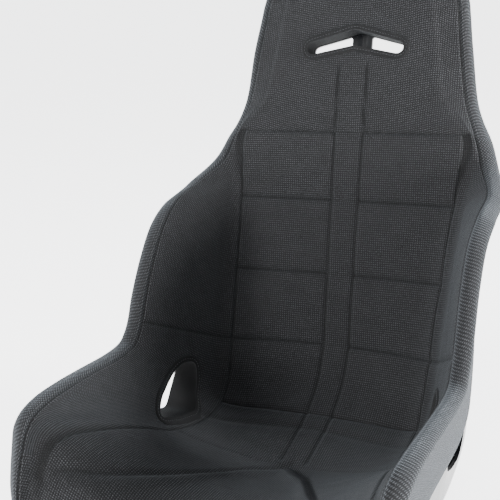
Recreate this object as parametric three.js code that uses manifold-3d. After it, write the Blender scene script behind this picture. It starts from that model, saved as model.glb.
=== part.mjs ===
// A fixed-back racing seat: a one-piece laminate shell on four mounting feet, foam pads and a sewn cloth cover.
// Millimetres, +Z up. The seat faces -Y and +X is to the right of a viewer who looks along +Y.
import * as THREE from "three";
import { mergeVertices } from "three/addons/utils/BufferGeometryUtils.js";
import Module from "manifold-3d";

const wasm = await Module();
wasm.setup();

// ---- driving dimensions ----

const halfWidth = 246; // centre line to the sewn ridge of a wing
const rise = 753; // floor to the top of the head
const reach = 700; // front lip to the back of the head
const drawn = { halfWidth: 246, rise: 753, reach: 700 }; // the size at which the stations below are given

const shellWall = 5; // laminate thickness
const clothWall = 2; // cover cloth with its scrim backing
const outerPad = 6.5; // wadding under the outer wrap
const gap = 0.4; // clearance between neighbouring layers
const foamGap = 2.8; // clearance round the foam, which the cloth and the laminate press on
const seamGap = 0.7; // clearance between neighbouring cover panels, along the surface
const rimBulge = 11; // how far the padded rim stands past the edge of the shell
const wrapWidth = 72; // depth of the outer wrap down the outside of the shell
const headWrapWidth = 34; // the same round the head
const hemWidth = 24; // hem of the front skirt, turned under the lip
const tapeWidth = 25; // hook-and-loop tape under the hem of each wrap
const tapeWall = 1.2;

const slotHalfWidth = 83; // harness slot, centre to tip
const slotTipHeight = 20; // height of the slot near its rounded tips
const slotMidHeight = 26; // height of the slot at its apex
const slotRise = 21; // how far the apex stands above the tips
const slotHeight = 637; // height of the slot's tips above the floor
const bridgeHalfWidth = 17; // shell bridge between the two harness slots
const bindingWidth = 9; // flat face of the cloth binding round an opening
const bindingWall = 1.6;
const sleeveWall = 2; // cloth lining inside each opening

const ribHalfWidth = 26; // back stiffener, half its width
const ribDepth = 16;
const ribWall = 3;

const threadSize = 8; // M8 base mounting threads
const nutFlange = 26; // captive nut plate inside the shell
const nutFlangeWall = 2;
const nutBarrel = 12;
const nutLength = 14;
const nutFit = 0.35; // radial clearance round a nut's barrel
const pocketRoom = 3; // clearance round a nut's flange in the foam
const footTop = 46; // mounting foot, across its top and its bottom
const footBase = 40;
const mountSpread = 150; // centre line to a mounting foot
const mountFront = -425; // the mounting feet, along Y
const mountRear = -108;
const shellWindowGrowth = 10; // how much larger the lap-belt openings are in the shell than in the cover

// One station per line, from the top of the head to underneath the front lip. The surface of the cover
// runs from the centre line over the panel seam to the ridge seam of the wing; the shell runs beside it.
const coverStations = [
  { spine: [130, 753], seam: [112, 130, 753], ridge: [150, 118, 747] }, // head top
  { spine: [119, 715], seam: [128, 119, 715], ridge: [163, 124, 711] },
  { spine: [95, 637], seam: [142, 97, 637], ridge: [174, 100, 635] }, // harness slot
  { spine: [72, 561], seam: [158, 75, 561], ridge: [187, 82, 555] },
  { spine: [56, 504], seam: [200, 56, 504], ridge: [207, 62, 501] }, // neck
  { spine: [43, 451], seam: [200, 42, 451], ridge: [223, 38, 457] },
  { spine: [35, 417], seam: [195, 34, 417], ridge: [244, -18, 430] }, // shoulder
  { spine: [26, 381], seam: [192, 22, 381], ridge: [246, -92, 413] },
  { spine: [13, 331], seam: [188, 3, 333], ridge: [244, -145, 383] },
  { spine: [0, 276], seam: [185, -20, 279], ridge: [244, -185, 335] },
  { spine: [-15, 218], seam: [181, -44, 223], ridge: [245, -215, 283] }, // waist
  { spine: [-29, 161], seam: [178, -68, 167], ridge: [245, -232, 247] },
  { spine: [-62, 106], seam: [175, -92, 109], ridge: [245, -247, 227] },
  { spine: [-113, 73], seam: [173, -122, 71], ridge: [246, -264, 216] }, // hip
  { spine: [-175, 53], seam: [176, -196, 67], ridge: [247, -305, 212] },
  { spine: [-237, 43], seam: [186, -268, 89], ridge: [248, -365, 215] }, // lowest point
  { spine: [-315, 59], seam: [204, -355, 135], ridge: [248, -425, 217] },
  { spine: [-395, 75], seam: [220, -435, 169], ridge: [247, -478, 217] }, // thigh
  { spine: [-460, 75], seam: [233, -498, 187], ridge: [245, -520, 210] },
  { spine: [-506, 62], seam: [236, -530, 175], ridge: [243, -547, 185] }, // nose
  { spine: [-521, 47], seam: [235, -558, 113], ridge: [243, -570, 121] },
  { spine: [-521, 30], seam: [231, -563, 44], ridge: [241, -574, 62] }, // lip
];
const shellStations = [
  { spine: [160, 749], seam: [112, 156, 749], ridge: [152, 132, 745] },
  { spine: [151, 711], seam: [130, 146, 711], ridge: [166, 137, 709] },
  { spine: [130, 631], seam: [144, 124, 631], ridge: [178, 114, 633] },
  { spine: [106, 555], seam: [162, 102, 555], ridge: [192, 98, 553] },
  { spine: [90, 498], seam: [200, 86, 498], ridge: [214, 80, 499] },
  { spine: [76, 445], seam: [206, 72, 445], ridge: [234, 52, 454] },
  { spine: [68, 411], seam: [207, 60, 411], ridge: [258, -10, 425] },
  { spine: [58, 375], seam: [207, 48, 375], ridge: [260, -86, 409] },
  { spine: [45, 325], seam: [208, 30, 325], ridge: [258, -140, 381] },
  { spine: [30, 270], seam: [210, 8, 269], ridge: [258, -181, 334] },
  { spine: [14, 211], seam: [214, -16, 209], ridge: [259, -212, 283] },
  { spine: [-1, 151], seam: [221, -42, 145], ridge: [259, -229, 247] },
  { spine: [-36, 85], seam: [227, -70, 79], ridge: [259, -245, 226] },
  { spine: [-98, 45], seam: [231, -112, 41], ridge: [260, -263, 214] },
  { spine: [-172, 23], seam: [234, -190, 21], ridge: [261, -305, 210] },
  { spine: [-240, 13], seam: [237, -262, 17], ridge: [262, -366, 212] },
  { spine: [-318, 15], seam: [239, -340, 21], ridge: [262, -426, 214] },
  { spine: [-396, 18], seam: [241, -412, 25], ridge: [261, -480, 212] },
  { spine: [-450, 21], seam: [242, -470, 31], ridge: [259, -518, 201] },
  { spine: [-482, 24], seam: [240, -510, 36], ridge: [256, -538, 177] },
  { spine: [-497, 27], seam: [235, -532, 33], ridge: [255, -556, 117] },
  { spine: [-503, 26], seam: [230, -540, 29], ridge: [254, -560, 60] },
];
const last = coverStations.length - 1;
const seamAt = 0.5; // the panel seam lies half way between the centre line (0) and the ridge seam (1)
const cornerSpan = 0.13; // share of the half section that rounds the corner at the panel seam
const crownPower = 2.2; // how late the back panel curves forward towards its seam
const headCorner = { length: 1.25, inset: 0.3 }; // rounding of the head's two top corners, in stations and share

const neck = 4; // stations where one panel hands over to the next
const hip = 13;
const beltWindow = [[-177, 162], [-151, 155], [-156, 127], [-189, 87], [-239, 96], [-281, 111], [-260, 130]];

// ---- materials ----

const finish = (color, roughness, metalness) => new THREE.MeshStandardMaterial({ color, roughness, metalness });
const cloth = finish(0x35373a, 0.95, 0);
const edgeCloth = finish(0x2a2b2e, 0.95, 0);
const foam = finish(0x55565a, 1, 0);
const gelcoat = finish(0x0d0e10, 0.25, 0);
const zinc = finish(0xa9adb3, 0.35, 0.9);
const tape = finish(0x18181a, 1, 0);

// ---- the shaped surfaces ----

const scale = [halfWidth / drawn.halfWidth, reach / drawn.reach, rise / drawn.rise];
const scaled = (x, y, z) => new THREE.Vector3(x * scale[0], y * scale[1], z * scale[2]);

function tableOf(stations) {
  return {
    spine: stations.map(({ spine }) => scaled(0, ...spine)),
    seam: stations.map(({ seam }) => scaled(...seam)),
    ridge: stations.map(({ ridge }) => scaled(...ridge)),
  };
}
const coverTable = tableOf(coverStations);
const shellTable = tableOf(shellStations);

// A smooth curve through a column of stations, at a fractional station number.
function along(column, s) {
  const at = THREE.MathUtils.clamp(s, 0, last);
  const i = Math.min(Math.floor(at), last - 1);
  const t = at - i;
  const [a, b] = [column[i], column[i + 1]];
  const before = column[Math.max(i - 1, 0)];
  const after = column[Math.min(i + 2, last)];
  return new THREE.Vector3(
    ...["x", "y", "z"].map(
      (k) =>
        0.5 *
        (2 * a[k] +
          (b[k] - before[k]) * t +
          (2 * before[k] - 5 * a[k] + 4 * b[k] - after[k]) * t * t +
          (3 * a[k] - before[k] - 3 * b[k] + after[k]) * t * t * t),
    ),
  );
}

// The section from the centre line to the ridge: a shallow curve, a rounded corner and a straight wing.
function sectionPoint(table, s, share) {
  const spine = along(table.spine, s);
  const seam = along(table.seam, s);
  const ridge = along(table.ridge, s);
  const panel = (q) => {
    const t = q / seamAt;
    const point = spine.clone().lerp(seam, Math.pow(Math.max(t, 0), crownPower));
    point.x = seam.x * t;
    return point;
  };
  const wing = (q) => seam.clone().lerp(ridge, (q - seamAt) / (1 - seamAt));
  const [start, end] = [seamAt - cornerSpan, seamAt + cornerSpan];
  if (share <= start) return panel(share);
  if (share >= end) return wing(share);
  const step = 1e-3;
  const c = (share - start) / (end - start);
  const slopeIn = panel(start).sub(panel(start - step)).multiplyScalar((end - start) / step);
  const slopeOut = wing(end + step).sub(wing(end)).multiplyScalar((end - start) / step);
  return panel(start)
    .multiplyScalar(2 * c ** 3 - 3 * c ** 2 + 1)
    .addScaledVector(slopeIn, c ** 3 - 2 * c ** 2 + c)
    .addScaledVector(wing(end), 3 * c ** 2 - 2 * c ** 3)
    .addScaledVector(slopeOut, c ** 3 - c ** 2);
}

// The share of the section that is left at a station: less than 1 where the head's corners are rounded.
function reachAt(s) {
  const { length, inset } = headCorner;
  if (s >= length) return 1;
  return 1 - inset + inset * Math.sqrt(1 - (1 - s / length) ** 2);
}

const surfacePoint = (table, s, u) => {
  const point = sectionPoint(table, s, Math.abs(u));
  point.x *= Math.sign(u);
  return point;
};

// The unit normal, towards the driver.
function normalAt(table, s, u) {
  const [ds, du] = [0.04, 0.02];
  const alongS = surfacePoint(table, Math.min(s + ds, last), u).sub(surfacePoint(table, Math.max(s - ds, 0), u));
  const side = u < 0 ? -1 : 1;
  const q = Math.abs(u);
  const acrossU = surfacePoint(table, s, side * Math.min(q + du, 1)).sub(
    surfacePoint(table, s, side * Math.max(q - du, 1e-6)),
  );
  return alongS.cross(acrossU.multiplyScalar(side)).normalize();
}

// A point at a depth under a surface: positive depths lie outboard of it.
const under = (table, s, across, depth) =>
  surfacePoint(table, s, across).addScaledVector(normalAt(table, s, across), -depth);
const underCover = (depth) => (s, u) => under(coverTable, s, u * reachAt(s), depth);
const underShell = (depth) => (s, u) => under(shellTable, s, u * reachAt(s), depth);

// ---- closed bodies ----

const sLines = [0, 0.1, 0.4, 0.8, 1.25];
for (let s = 2; s <= last; s += s >= 11 && s < 14 ? 0.5 : 1) sLines.push(s);
const uLines = [0, 0.2, 0.37, 0.5, 0.63, 0.82, 1];
uLines.unshift(...uLines.slice(1).map((u) => -u).reverse());

const linesIn = (lines, [from, to]) => {
  const close = 0.02;
  return [from, ...lines.filter((v) => v > from + close && v < to - close), to];
};

// A closed body between two grids of points with the same rows and columns.
function bodyBetween(front, back) {
  const [rows, columns] = [front.length, front[0].length];
  const positions = [...front.flat(), ...back.flat()].flatMap((p) => [p.x, p.y, p.z]);
  const index = [];
  const id = (layer, i, j) => layer * rows * columns + i * columns + j;
  const quad = (a, b, c, d) => index.push(a, b, c, a, c, d);
  for (let i = 0; i < rows - 1; i++)
    for (let j = 0; j < columns - 1; j++) {
      quad(id(0, i, j), id(0, i + 1, j), id(0, i + 1, j + 1), id(0, i, j + 1));
      quad(id(1, i, j), id(1, i, j + 1), id(1, i + 1, j + 1), id(1, i + 1, j));
    }
  for (let i = 0; i < rows - 1; i++) {
    quad(id(0, i + 1, 0), id(0, i, 0), id(1, i, 0), id(1, i + 1, 0));
    quad(id(0, i + 1, columns - 1), id(1, i + 1, columns - 1), id(1, i, columns - 1), id(0, i, columns - 1));
  }
  for (let j = 0; j < columns - 1; j++) {
    quad(id(0, 0, j), id(0, 0, j + 1), id(1, 0, j + 1), id(1, 0, j));
    quad(id(0, rows - 1, j), id(1, rows - 1, j), id(1, rows - 1, j + 1), id(0, rows - 1, j + 1));
  }
  const geometry = new THREE.BufferGeometry();
  geometry.setAttribute("position", new THREE.Float32BufferAttribute(positions, 3));
  geometry.setIndex(index);
  return geometry;
}

// A layer of the seat over a range of stations and of the section.
function layer(sRange, uRange, frontOf, backOf) {
  const rows = linesIn(sLines, sRange);
  const columns = linesIn(uLines, uRange);
  const grid = (pointAt) => rows.map((s) => columns.map((u) => pointAt(s, u)));
  return solidOf(bodyBetween(grid(frontOf), grid(backOf)));
}

function solidOf(geometry) {
  const plain = geometry.clone();
  plain.deleteAttribute("normal");
  plain.deleteAttribute("uv");
  const merged = mergeVertices(plain, 1e-4);
  const mesh = new wasm.Mesh({
    numProp: 3,
    vertProperties: new Float32Array(merged.attributes.position.array),
    triVerts: new Uint32Array(merged.index.array),
  });
  const solid = new wasm.Manifold(mesh);
  if (solid.volume() > 0) return solid;
  for (let i = 0; i < mesh.triVerts.length; i += 3)
    [mesh.triVerts[i], mesh.triVerts[i + 1]] = [mesh.triVerts[i + 1], mesh.triVerts[i]];
  return new wasm.Manifold(mesh);
}

function geometryOf(solid) {
  const { vertProperties, triVerts } = solid.getMesh();
  const geometry = new THREE.BufferGeometry();
  geometry.setAttribute("position", new THREE.BufferAttribute(new Float32Array(vertProperties), 3));
  geometry.setIndex(new THREE.BufferAttribute(new Uint32Array(triVerts), 1));
  geometry.computeVertexNormals();
  return geometry;
}

const seat = new THREE.Group();

function place(name, solid, material) {
  const mesh = new THREE.Mesh(geometryOf(solid), material);
  mesh.name = name;
  seat.add(mesh);
}

// ---- outlines and cutters ----

// A prism of a closed outline, along an axis, through everything between two places on that axis.
function prism(outline, corner, matrix, from, to) {
  const shape = roundedShape(outline, corner);
  const body = new THREE.ExtrudeGeometry(shape, { depth: to - from, bevelEnabled: false, curveSegments: 2 });
  body.translate(0, 0, from);
  return solidOf(body.applyMatrix4(matrix));
}

// A closed outline with its corners rounded, each as one quadratic curve.
function roundedShape(outline, corner) {
  const points = outline.map(([x, y]) => new THREE.Vector2(x, y));
  const shape = new THREE.Shape();
  points.forEach((point, i) => {
    const before = points[(i + points.length - 1) % points.length];
    const after = points[(i + 1) % points.length];
    const cut = (other) => {
      const length = point.distanceTo(other);
      return point.clone().lerp(other, Math.min(corner / length, 0.45));
    };
    const [entry, exit] = [cut(before), cut(after)];
    if (i === 0) shape.moveTo(entry.x, entry.y);
    else shape.lineTo(entry.x, entry.y);
    shape.quadraticCurveTo(point.x, point.y, exit.x, exit.y);
  });
  shape.closePath();
  return shape;
}

// The same outline, moved outwards by a distance.
function grown(outline, distance) {
  const area = outline.reduce((sum, [x, y], i) => {
    const [nx, ny] = outline[(i + 1) % outline.length];
    return sum + x * ny - nx * y;
  }, 0);
  const turn = Math.sign(area);
  return outline.map(([x, y], i) => {
    const before = outline[(i + outline.length - 1) % outline.length];
    const after = outline[(i + 1) % outline.length];
    const [ax, ay] = [x - before[0], y - before[1]];
    const [bx, by] = [after[0] - x, after[1] - y];
    const [la, lb] = [Math.hypot(ax, ay), Math.hypot(bx, by)];
    const normal = [ay / la + by / lb, -(ax / la + bx / lb)];
    const cosine = 1 + (ax * bx + ay * by) / (la * lb);
    return [x + (turn * distance * normal[0]) / cosine, y + (turn * distance * normal[1]) / cosine];
  });
}

// The harness slot is one shallow chevron; its outline is given in X and in height up the back.
const tip = slotTipHeight / 2;
const slotOutline = [
  [-slotHalfWidth, -tip * 0.45],
  [-slotHalfWidth + 8, -tip],
  [0, slotRise - tip + (slotTipHeight - slotMidHeight)],
  [slotHalfWidth - 8, -tip],
  [slotHalfWidth, -tip * 0.45],
  [slotHalfWidth, tip * 0.6],
  [slotHalfWidth - 6, tip],
  [0, slotRise + tip],
  [-slotHalfWidth + 6, tip],
  [-slotHalfWidth, tip * 0.6],
].map(([x, y]) => [x * scale[0], y]);
const slotTilt = Math.atan2(
  coverTable.spine[2].y - coverTable.spine[neck].y,
  coverTable.spine[2].z - coverTable.spine[neck].z,
);
const slotZ = slotHeight * scale[2];
const slotY = along(coverTable.spine, 2).y;
// local X stays X, local Y runs up the back, local Z points out of the back towards the driver
const slotPlace = new THREE.Matrix4()
  .makeRotationX(Math.PI / 2 - slotTilt)
  .setPosition(0, slotY, slotZ);
const throughBack = 90;
const slotCutter = (growth, from = -throughBack, to = throughBack) =>
  prism(grown(slotOutline, growth), 6 + growth, slotPlace, from, to);

// The lap-belt openings are cut straight across, along X; their outline is given in Y and Z.
const beltOutline = beltWindow.map(([y, z]) => [y * scale[1], z * scale[2]]);
const beltPlace = (side) =>
  new THREE.Matrix4().set(0, 0, side, 0, 1, 0, 0, 0, 0, 1, 0, 0, 0, 0, 0, 1);
const [beltFrom, beltTo] = [120, 330];
const beltCutter = (side, growth) => prism(grown(beltOutline, growth), 7 + growth, beltPlace(side), beltFrom, beltTo);

const holeGrowth = sleeveWall + gap;
const sides = { left: -1, right: 1 };
const allOpenings = (growth) =>
  Object.values(sides).reduce((sum, side) => sum.add(beltCutter(side, growth)), slotCutter(growth));

// A round bar along Z.
function roundBar(radius, from, to, x, y, base = radius) {
  const bar = new THREE.CylinderGeometry(radius, base, to - from, 16);
  bar.rotateX(Math.PI / 2).translate(x, y, (from + to) / 2);
  return solidOf(bar);
}
const mountX = mountSpread * scale[0];
const mounts = [
  ["front", mountFront * scale[1]],
  ["rear", mountRear * scale[1]],
];
// The height of the shell's surface above a mounting foot.
function shellHeightAt(x, y) {
  let best = [Infinity, 0];
  for (let s = 11; s <= 20; s += 0.05)
    for (let u = 0; u <= seamAt; u += 0.01) {
      const p = surfacePoint(shellTable, s, u);
      const miss = Math.hypot(p.x - x, p.y - y);
      if (miss < best[0]) best = [miss, p.z];
    }
  return best[1];
}
const mountPlaces = Object.entries(sides).flatMap(([name, side]) =>
  mounts.map(([end, y]) => ({ label: `${name}_${end}`, x: side * mountX, y, z: shellHeightAt(mountX, y) })),
);

// ---- shell ----

function makeShell() {
  let shell = layer([0, last], [-1, 1], underShell(0), underShell(shellWall));
  const bridge = new THREE.BoxGeometry(2 * bridgeHalfWidth * scale[0], 4 * throughBack, 4 * throughBack);
  bridge.translate(0, slotY, slotZ);
  shell = shell.subtract(slotCutter(0).subtract(solidOf(bridge)));
  for (const side of Object.values(sides)) shell = shell.subtract(beltCutter(side, shellWindowGrowth));
  for (const { x, y, z } of mountPlaces)
    shell = shell.subtract(roundBar(nutBarrel / 2 + nutFit, 0, z + nutLength, x, y));
  place("shell", shell, gelcoat);
}

// A bonded hat-section stiffener runs down the back of the shell and across the bridge.
function makeRib() {
  const range = [2.75, 10.5];
  const rows = linesIn(sLines, range);
  const section = [
    [-1.35, 0], [-1, 0], [-0.66, 1], [0.66, 1], [1, 0], [1.35, 0],
  ];
  const hat = (inner) =>
    rows.map((s) =>
      section.map(([across, high]) => {
        const u = ((across * ribHalfWidth * scale[0]) / along(shellTable.seam, s).x) * seamAt;
        return under(shellTable, s, u, shellWall + gap + high * (ribDepth - ribWall) + (inner ? 0 : ribWall));
      }),
    );
  place("back_rib", solidOf(bodyBetween(hat(true), hat(false))), gelcoat);
}

// ---- foam ----

const padGap = 0.012; // clearance between neighbouring pads, as a share of the section
const padTop = underCover(clothWall + foamGap);
const padBottom = underShell(-foamGap);
const inset = seamGap / 200; // the same clearance as a share of the section

function makePad(name, sRange, uRange) {
  const pad = layer(sRange, uRange, padTop, padBottom).subtract(allOpenings(holeGrowth));
  place(name, pad.subtract(nutPockets()), foam);
}

const nutPockets = () =>
  mountPlaces
    .map(({ x, y, z }) => roundBar(nutFlange / 2 + pocketRoom, z - nutLength, z + nutLength, x, y))
    .reduce((sum, pocket) => sum.add(pocket));

function makePads() {
  const wing = 0.63;
  const edge = 0.985;
  makePad("head_pad", [0, neck - 0.05], [-0.97, 0.97]);
  makePad("back_pad", [neck, hip - 0.4], [padGap - wing, wing - padGap]);
  makePad("seat_pad", [hip - 0.35, 15.95], [padGap - wing, wing - padGap]);
  makePad("thigh_roll_pad", [16, last], [padGap - wing, wing - padGap]);
  for (const [name, side] of Object.entries(sides)) {
    const range = (from, to) => (side < 0 ? [-to, -from] : [from, to]);
    makePad(`torso_bolster_pad_${name}`, [neck + 1, 11.45], range(wing + padGap, edge));
    makePad(`thigh_bolster_pad_${name}`, [11.5, last], range(wing + padGap, edge));
  }
}

// ---- sewn cover ----

const clothTop = underCover(0);
const clothBottom = underCover(clothWall);

function makePanel(name, sRange, uRange) {
  place(name, layer(sRange, uRange, clothTop, clothBottom).subtract(allOpenings(holeGrowth)), cloth);
}

function makePanels() {
  const seam = seamAt;
  const edge = 0.96;
  const hemGap = 0.03; // clearance to the turned edges, in stations
  const skirtTop = 19.2;
  const back = layer([neck - 1, hip - 0.02], [-seam + inset, seam - inset], clothTop, clothBottom);
  const headEdge = 0.94;
  const head = layer([hemGap, neck], [-headEdge, headEdge], clothTop, clothBottom);
  place("cover_back_panel", head.add(back).subtract(allOpenings(holeGrowth)), cloth);
  makePanel("cover_seat_panel", [hip, skirtTop], [-seam + inset, seam - inset]);
  makePanel("cover_front_skirt", [skirtTop + hemGap, last - hemGap], [-edge, edge]);
  for (const [name, side] of Object.entries(sides)) {
    const range = (from, to) => (side < 0 ? [-to, -from] : [from, to]);
    makePanel(`cover_side_${name}`, [neck + hemGap, skirtTop], range(seam + inset, edge));
  }
}

// ---- the rim: where the cover turns over the edge of the shell ----

// The rim follows the edge of the seat: up a wing, round a corner of the head and over its top.
// A place on the edge is a station, a share of the section, and the place that lies inwards of it.
const round = headCorner.length;
const cornerCentre = [round, 1 - headCorner.inset];

function wingPlace(s, side) {
  const across = reachAt(s);
  const step = 0.02;
  const inward = s < round ? cornerCentre : [s, across - step];
  return { at: [s, side * across], inward: [inward[0], side * inward[1]] };
}
const topPlace = (across) => ({ at: [0, across], inward: [round, across] });
const lipPlace = (across) => ({ at: [last, across], inward: [last - 1, across] });

// The outward direction at an edge place: in the surface and away from the inward place.
function outwardAt({ at, inward }) {
  const step = 0.06;
  const near = at.map((v, i) => v + (inward[i] - v) * (inward[0] === at[0] ? 1 : step));
  const pair = (table) => surfacePoint(table, ...at).sub(surfacePoint(table, ...near));
  return pair(coverTable).add(pair(shellTable)).normalize();
}

const arcSteps = 4;
const outside = (depth) => shellWall + outerPad + clothWall - depth;
// One section of the turned edge, at a depth inside the cloth: from the ridge seam over to the outside.
function rimArc(spot, depth) {
  const start = under(coverTable, ...spot.at, depth);
  const end = under(shellTable, ...spot.at, outside(depth));
  const middle = start.clone().lerp(end, 0.5);
  const reachOut = outwardAt(spot).multiplyScalar(rimBulge - depth);
  const points = [];
  for (let i = 0; i <= arcSteps; i++) {
    const angle = (Math.PI * i) / arcSteps;
    points.push(
      middle
        .clone()
        .add(start.clone().sub(middle).multiplyScalar(Math.cos(angle)))
        .addScaledVector(reachOut, Math.sin(angle)),
    );
  }
  return points;
}

// The place that lies a width inwards of an edge place, measured over the shell.
function inwardBy({ at, inward }, width) {
  const wing = inward[0] === at[0];
  const end = wing ? [at[0], 0] : inward;
  const steps = 100;
  let length = 0;
  let here = surfacePoint(shellTable, ...at);
  for (let i = 1; i < steps; i++) {
    const share = i / steps;
    const next = at.map((v, k) => v + (end[k] - v) * share);
    const point = surfacePoint(shellTable, ...next);
    length += point.distanceTo(here);
    here = point;
    if (length >= width) return next;
  }
  return end;
}

const tailSteps = 4;
function wrapSection(spot, depth, width) {
  const points = rimArc(spot, depth);
  const hem = inwardBy(spot, width);
  for (let i = 1; i <= tailSteps; i++) {
    const step = spot.at.map((v, k) => v + ((hem[k] - v) * i) / tailSteps);
    points.push(under(shellTable, ...step, outside(depth)));
  }
  return points;
}

function makeWrap(name, places, width) {
  const grid = (depth) => places.map((spot) => wrapSection(spot, depth, width(spot.at[0])));
  place(name, solidOf(bodyBetween(grid(0), grid(clothWall))), cloth);
}

// The foam cord that rounds the edge of the shell under the turned cloth.
function makeEdgeFoam(name, places) {
  const outer = places.map((spot) => rimArc(spot, clothWall + gap).slice(1, -1));
  const inner = places.map((spot) => {
    const out = outwardAt(spot);
    const arc = rimArc(spot, clothWall + gap);
    const fence = new THREE.CurvePath();
    const wall = [0, shellWall].map((depth) => under(shellTable, ...spot.at, depth));
    const stops = [arc[0], ...wall, arc[arcSteps]];
    stops.slice(1).forEach((stop, i) => fence.add(new THREE.LineCurve3(stops[i], stop)));
    return arc.slice(1, -1).map((_, i) => {
      const t = (1 - Math.cos((Math.PI * (i + 1)) / arcSteps)) / 2;
      return fence.getPoint(t).addScaledVector(out, foamGap);
    });
  });
  place(name, solidOf(bodyBetween(outer, inner)), foam);
}

// The wrap is narrow round the head and at the front lip, and wide beside the wing.
function wrapWidthAt(s) {
  const { smoothstep, lerp } = THREE.MathUtils;
  const wide = smoothstep(s, neck, neck + 4) * (1 - smoothstep(s, last - 4, last - 1));
  return lerp(s < hip ? headWrapWidth : hemWidth, wrapWidth, wide);
}

function makeRims() {
  const wingRows = linesIn(sLines, [neck + 0.03, last]);
  const headRows = linesIn(sLines, [0, neck]);
  for (const [name, side] of Object.entries(sides)) {
    const wing = wingRows.map((s) => wingPlace(s, side));
    const head = headRows.map((s) => wingPlace(s, side));
    makeWrap(`cover_outer_wrap_${name}`, wing, wrapWidthAt);
    makeEdgeFoam(`edge_foam_${name}`, wing);
    makeWrap(`cover_head_wrap_${name}`, head, wrapWidthAt);
    makeEdgeFoam(`head_edge_foam_${name}`, head);
  }
  const topEdge = cornerCentre[1] - 2 * inset;
  const top = linesIn(uLines, [-topEdge, topEdge]).map(topPlace);
  makeWrap("cover_head_cap", top, wrapWidthAt);
  makeEdgeFoam("head_cap_foam", top);
  const lip = linesIn(uLines, [-0.45, 0.45]).map(lipPlace);
  makeWrap("cover_front_hem", lip, () => hemWidth);
}

// Loop tape is bonded to the shell under each wrap's hem, and hook tape is sewn to the wrap.
function makeTapes() {
  const rows = linesIn(sLines, [8, 17]);
  const margin = 6;
  const fromHem = [margin, margin + tapeWidth / 2, margin + tapeWidth];
  const band = (side, depth) =>
    rows.map((s) =>
      fromHem.map((hem) => {
        const [, across] = inwardBy(wingPlace(s, side), wrapWidth - hem);
        return under(shellTable, s, across, shellWall + depth);
      }),
    );
  const loopDepth = 4 * gap;
  const hookDepth = loopDepth + tapeWall + gap / 2;
  for (const [name, side] of Object.entries(sides)) {
    const strip = (depth) => solidOf(bodyBetween(band(side, depth), band(side, depth + tapeWall)));
    place(`loop_tape_${name}`, strip(loopDepth), tape);
    place(`hook_tape_${name}`, strip(hookDepth), tape);
  }
}

// ---- openings' bindings ----

// A cloth binding: a flat ring on the cover's face and a sleeve that lines the foam behind it.
function makeBinding(name, cutter, sRange, uRange) {
  const ring = cutter(bindingWidth).subtract(cutter(0));
  const lining = cutter(sleeveWall).subtract(cutter(0));
  const face = layer(sRange, uRange, underCover(-gap - bindingWall), underCover(-gap));
  const depth = layer(sRange, uRange, underCover(-gap - bindingWall / 2), underShell(-foamGap));
  place(name, face.intersect(ring).add(depth.intersect(lining)), edgeCloth);
}

function makeBindings() {
  makeBinding("harness_slot_binding", slotCutter, [0.8, 3], [-0.95, 0.95]);
  for (const [name, side] of Object.entries(sides)) {
    const range = side < 0 ? [-0.98, -0.37] : [0.37, 0.98];
    makeBinding(`belt_opening_binding_${name}`, (growth) => beltCutter(side, growth), [10, 17], range);
  }
}

// ---- base mounts ----

const underside = layer([11, 20], [-0.6, 0.6], underShell(-nutLength), underShell(shellWall + gap));
const inside = layer([11, 20], [-0.6, 0.6], underShell(-gap - nutFlangeWall), underShell(-gap));

// A moulded foot under the shell, and the captive nut that passes through the shell into it.
function makeMount({ label, x, y, z }) {
  const thread = roundBar(threadSize / 2, -1, z + nutLength, x, y);
  const socket = roundBar(nutBarrel / 2 + nutFit, z - nutLength - gap, z + nutLength, x, y);
  const foot = roundBar(footTop / 2, 0, z + nutLength, x, y, footBase / 2);
  const body = foot.subtract(underside).trimByPlane([0, 0, -1], -z);
  place(`mount_foot_${label}`, body.subtract(socket).subtract(thread), gelcoat);
  const flange = roundBar(nutFlange / 2, z - nutLength, z + nutLength, x, y).intersect(inside);
  const barrel = roundBar(nutBarrel / 2, z - nutLength, z + 1, x, y);
  place(`captive_nut_${label}`, flange.add(barrel).subtract(thread), zinc);
}

// ---- build ----

makeShell();
makeRib();
makePads();
makePanels();
makeRims();
makeTapes();
makeBindings();
mountPlaces.forEach(makeMount);

const root = new THREE.Group();
root.name = "racing_seat";
root.add(seat);
const box = new THREE.Box3().setFromObject(seat);
seat.position.set(0, -(box.min.y + box.max.y) / 2, 0);

export default root;
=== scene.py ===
import math
import bpy
import bmesh
import numpy as np
from mathutils import Matrix, Vector, noise
from mathutils.bvhtree import BVHTree


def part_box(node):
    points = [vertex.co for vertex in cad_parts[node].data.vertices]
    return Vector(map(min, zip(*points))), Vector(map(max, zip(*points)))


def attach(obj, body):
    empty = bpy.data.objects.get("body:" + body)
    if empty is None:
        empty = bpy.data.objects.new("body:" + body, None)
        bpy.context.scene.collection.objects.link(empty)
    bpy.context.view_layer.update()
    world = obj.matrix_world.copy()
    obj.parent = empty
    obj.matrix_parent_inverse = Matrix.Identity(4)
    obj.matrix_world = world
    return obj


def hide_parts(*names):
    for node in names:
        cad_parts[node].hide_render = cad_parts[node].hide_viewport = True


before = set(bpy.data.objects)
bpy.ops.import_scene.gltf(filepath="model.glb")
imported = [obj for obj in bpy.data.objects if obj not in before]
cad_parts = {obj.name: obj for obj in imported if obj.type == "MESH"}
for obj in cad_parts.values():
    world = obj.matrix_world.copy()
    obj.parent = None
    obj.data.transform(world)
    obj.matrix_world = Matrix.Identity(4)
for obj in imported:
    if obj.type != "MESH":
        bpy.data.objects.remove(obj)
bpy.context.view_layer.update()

millimetre = 0.001


def boxCentre(node):
    low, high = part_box(node)
    return (Vector(low) + Vector(high)) / 2


# the seat's own drawing has its zero along Y elsewhere: the front feet stand at this place in it
footFrontY = -425
shiftY = boxCentre("mount_foot_left_front").y / millimetre - footFrontY

# ---- materials

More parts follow.
